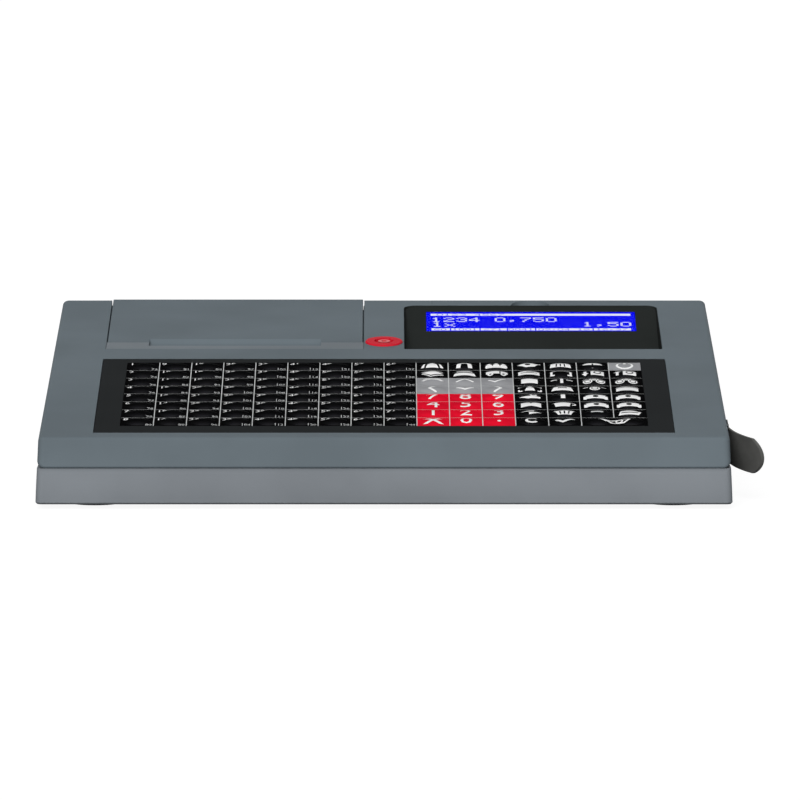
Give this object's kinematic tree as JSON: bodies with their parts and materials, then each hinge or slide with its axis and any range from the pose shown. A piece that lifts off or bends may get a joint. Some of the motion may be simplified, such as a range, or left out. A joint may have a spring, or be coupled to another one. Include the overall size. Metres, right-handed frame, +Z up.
{
  "type": "ticket register",
  "caption": "Low sloped counter register with a flat membrane keyboard, sunk blue screen, receipt printer under a rear lid and a pop-up customer display.",
  "frame": {"origin": "middle of the overall footprint at the level of the feet; the case's own middle is 9.8 mm to the left of it, because the side cover stands open on the right", "axes": "+X to the operator's right, +Y to the back, +Z up"},
  "size_m": [0.4191, 0.3516, 0.0909],
  "materials": {
    "case_plastic": "fine spark texture",
    "black_plastic": "fine matte",
    "key_film": "clear embossed film over print",
    "legend_print": "printed card",
    "membrane_film": "polyester film",
    "sheet_steel": "zinc plated",
    "bright_steel": "ground",
    "head_aluminium": "milled",
    "circuit_board": "solder resist",
    "ribbon": "flat cable",
    "roller_rubber": "ground",
    "foot_rubber": "soft",
    "cover_rubber": "satin",
    "thermal_paper": "smooth",
    "core_card": "plain",
    "gear_plastic": "moulded",
    "screen_blue": "lit graphic screen",
    "pane_clear": "polished",
    "reader_red": "semi gloss",
    "contact_metal": "plated",
    "socket_plastic": "moulded",
    "digits_dark": "display face"
  },
  "bodies": {
    "case": {"upper_case": "case_plastic", "lower_case": "case_plastic", "rubber_feet": "foot_rubber", "case_screws": "sheet_steel", "keyboard_bezel": "black_plastic", "key_overlay": "key_film", "legend_sheet": "legend_print", "switch_membrane": "membrane_film", "keyboard_plate": "sheet_steel", "keyboard_ribbon": "ribbon", "exit_trim": "case_plastic", "tear_bar": "bright_steel", "lid_hinge_pins": "bright_steel", "paper_bucket": "black_plastic", "paper_web": "thermal_paper", "idler_pin": "bright_steel", "feed_motor": "sheet_steel", "printer_frame": "sheet_steel", "head_spring": "bright_steel", "display_tray": "black_plastic", "screen_pane": "pane_clear", "screen_frame": "sheet_steel", "screen_glass": "screen_blue", "screen_board": "circuit_board", "screen_ribbon": "ribbon", "reader_ring": "reader_red", "reader_spring": "bright_steel", "reader_board": "circuit_board", "display_rails": "black_plastic", "main_board": "circuit_board", "board_screws": "sheet_steel", "drawer_socket": "socket_plastic", "serial_sockets": "socket_plastic", "network_socket": "socket_plastic", "power_inlet": "socket_plastic", "battery_holder": "socket_plastic", "backup_battery": "bright_steel", "buzzer": "socket_plastic", "cover_anchor": "cover_rubber", "fold_pin": "bright_steel", "side_socket": "sheet_steel"},
    "lid": {"printer_lid": "case_plastic", "platen_bushes": "gear_plastic"},
    "platen": {"platen_roller": "roller_rubber", "platen_shaft": "bright_steel", "platen_gear": "gear_plastic"},
    "idler": {"idler_gear": "gear_plastic"},
    "motor_rotor": {"motor_pinion": "gear_plastic"},
    "roll": {"paper_roll": "thermal_paper", "roll_core": "core_card"},
    "print_head": {"thermal_head": "head_aluminium"},
    "customer_display": {"display_head": "case_plastic", "head_window": "pane_clear", "digits_panel": "digits_dark"},
    "key_contact": {"reader_contact": "contact_metal"},
    "side_flap": {"side_cover": "cover_rubber"}
  },
  "joints": [
    {"name": "lid_hinge", "type": "hinge", "parent": "case", "child": "lid", "pos_m": [-0.09926, 0.17144, 0.08378], "axis": [-1, 0, 0], "range_deg": [0, 88]},
    {"name": "roll_spin", "type": "hinge", "parent": "case", "child": "roll", "pos_m": [-0.09926, 0.13607, 0.04645], "axis": [1, 0, 0], "continuous": true},
    {"name": "platen_spin", "type": "hinge", "parent": "lid", "child": "platen", "pos_m": [-0.09926, 0.07399, 0.06265], "axis": [1, 0, 0], "continuous": true},
    {"name": "idler_spin", "type": "hinge", "parent": "case", "child": "idler", "pos_m": [-0.15276, 0.0766, 0.04524], "axis": [1, 0, 0], "continuous": true},
    {"name": "motor_spin", "type": "hinge", "parent": "case", "child": "motor_rotor", "pos_m": [-0.15276, 0.06324, 0.03799], "axis": [1, 0, 0], "continuous": true},
    {"name": "head_pivot", "type": "hinge", "parent": "case", "child": "print_head", "pos_m": [-0.09926, 0.06635, 0.05493], "axis": [1, 0, 0], "range_deg": [0, 1.5], "stiffness_Nm_per_rad": 0.5, "springref_deg": -1.72},
    {"name": "customer_display_slide", "type": "slide", "parent": "case", "child": "customer_display", "axis": [0, 0, 1], "range_m": [0, 0.038]},
    {"name": "key_contact_press", "type": "slide", "parent": "case", "child": "key_contact", "axis": [0, -0.1478, 0.989], "range_m": [-0.0008, 0], "stiffness_N_per_m": 500, "deforming": ["reader_spring"]},
    {"name": "side_cover_hinge", "type": "hinge", "parent": "case", "child": "side_flap", "pos_m": [0.19001, -0.11392, 0.03121], "axis": [-0.0337, -0.1478, 0.9884], "range_deg": [-8, 70]}
  ],
  "couplings": [
    {"joint": "platen_spin", "follows": "roll_spin", "ratio": -5},
    {"joint": "idler_spin", "follows": "roll_spin", "ratio": 3.4615},
    {"joint": "motor_spin", "follows": "roll_spin", "ratio": -7.5}
  ]
}
